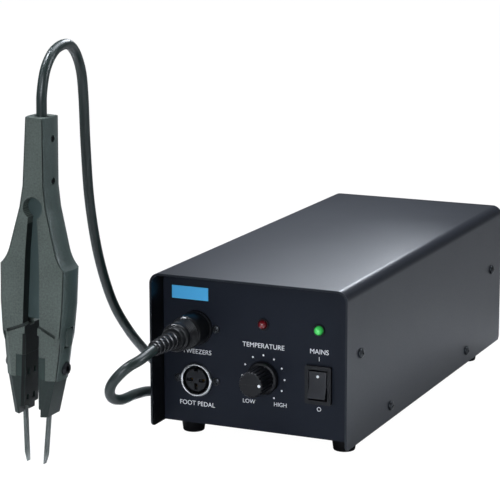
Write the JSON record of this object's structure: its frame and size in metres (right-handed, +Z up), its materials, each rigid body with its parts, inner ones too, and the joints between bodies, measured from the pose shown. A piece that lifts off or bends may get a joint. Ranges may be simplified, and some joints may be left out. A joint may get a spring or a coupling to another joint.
{
  "type": "soldering tweezers",
  "caption": "Soldering tweezers: a two-arm squeeze handpiece on a plug-in cord, with a box-shaped control station that has a heat dial, rocker switch, lamps and sockets.",
  "frame": {"origin": "on the bench, under the middle of the box round station and handpiece", "axes": "+Z up, +Y from the station's front to its rear, +X to the right as seen from the front"},
  "size_m": [0.185, 0.328, 0.2217],
  "materials": {
    "cover_paint": "semi-gloss fine-textured charcoal paint",
    "panel_paint": "matte black paint",
    "zinc_sheet": "zinc-plated sheet",
    "steel_screw": "zinc-plated",
    "black_screw": "black oxide",
    "rubber": "matte rubber",
    "cord_jacket": "satin flexible jacket",
    "bright_ring": "nickel plate",
    "black_plastic": "moulded",
    "plug_plastic": "moulded grip",
    "knob_plastic": "moulded, satin",
    "rocker_plastic": "polished",
    "white_paint": "painted dot",
    "brass": "plain",
    "red_lens": "clear red lens",
    "green_lens": "clear green lens, lit",
    "pot_can": "plain",
    "core_steel": "varnished laminations",
    "winding": "enamelled copper under varnish",
    "board": "solder resist",
    "hand_plastic": "fine-textured grey-green moulding",
    "hand_cover_plastic": "fine-textured grey-green moulding",
    "blade_plastic": "fine-textured moulding",
    "nose_plastic": "heat-proof moulding",
    "heater_sleeve": "heat-darkened steel",
    "tip_metal": "heat-darkened"
  },
  "bodies": {
    "station": {"cover": "cover_paint", "base_plate": "zinc_sheet", "front_panel": "panel_paint", "rear_panel": "panel_paint", "base_screws": "steel_screw", "cover_screws": "black_screw", "feet": "rubber", "foot_fasteners": "steel_screw", "tool_socket_shell": "black_plastic", "tool_socket_insert": "black_plastic", "foot_socket_shell": "bright_ring", "foot_socket_insert": "black_plastic", "socket_contacts": "brass", "socket_screws": "black_screw", "heat_lamp": "red_lens", "power_lamp": "green_lens", "lamp_holders": "black_plastic", "potentiometer": "pot_can", "potentiometer_nut": "steel_screw", "rocker_frame": "black_plastic", "transformer_core": "core_steel", "transformer_coil": "winding", "transformer_bracket": "zinc_sheet", "circuit_board": "board", "board_standoffs": "brass", "board_parts": "black_plastic", "heat_sink": "pot_can", "fuse_holder": "black_plastic", "mains_gland": "black_plastic", "plug_sleeve": "bright_ring", "plug_pins": "brass", "plug_grip": "plug_plastic", "plug_boot": "rubber", "cord": "cord_jacket", "handle_left_shell": "hand_plastic", "handle_right_shell": "hand_plastic", "handle_left_cover": "hand_cover_plastic", "handle_right_cover": "hand_cover_plastic", "handle_screws": "black_screw", "guide_blade": "blade_plastic", "cord_clamp": "steel_screw", "cord_bush": "rubber"},
    "dial": {"dial_shaft": "steel_screw", "dial_knob": "knob_plastic", "knob_dot": "white_paint"},
    "rocker": {"rocker_paddle": "rocker_plastic"},
    "left_arm": {"left_arm_shell": "hand_plastic", "left_arm_cover": "hand_cover_plastic", "left_nose": "nose_plastic", "left_heater": "heater_sleeve", "left_tip": "tip_metal", "left_tip_screw": "black_screw"},
    "right_arm": {"right_arm_shell": "hand_plastic", "right_arm_cover": "hand_cover_plastic", "right_nose": "nose_plastic", "right_heater": "heater_sleeve", "right_tip": "tip_metal", "right_tip_screw": "black_screw", "hand_switch": "black_plastic"},
    "push_button": {"hand_button": "hand_cover_plastic"}
  },
  "joints": [
    {"name": "dial_turn", "type": "hinge", "parent": "station", "child": "dial", "pos_m": [0.0293, -0.082, 0.0388], "axis": [0, 1, 0], "range_deg": [-240, 60]},
    {"name": "rocker_switch", "type": "hinge", "parent": "station", "child": "rocker", "pos_m": [0.0617, -0.0826, 0.0385], "axis": [1, 0, 0], "range_deg": [0, 18]},
    {"name": "left_arm_squeeze", "type": "hinge", "parent": "station", "child": "left_arm", "pos_m": [-0.06945, -0.156, 0.13878], "axis": [0, -1, 0], "range_deg": [0, 1.9], "stiffness_Nm_per_rad": 2},
    {"name": "right_arm_squeeze", "type": "hinge", "parent": "station", "child": "right_arm", "pos_m": [-0.05656, -0.156, 0.13824], "axis": [0, 1, 0], "range_deg": [0, 1.9], "stiffness_Nm_per_rad": 2},
    {"name": "button_press", "type": "slide", "parent": "right_arm", "child": "push_button", "axis": [-0.9991, 0, 0.0419], "range_m": [0, 0.0005], "stiffness_N_per_m": 300}
  ],
  "couplings": [
    {"joint": "right_arm_squeeze", "follows": "left_arm_squeeze", "ratio": 1}
  ]
}
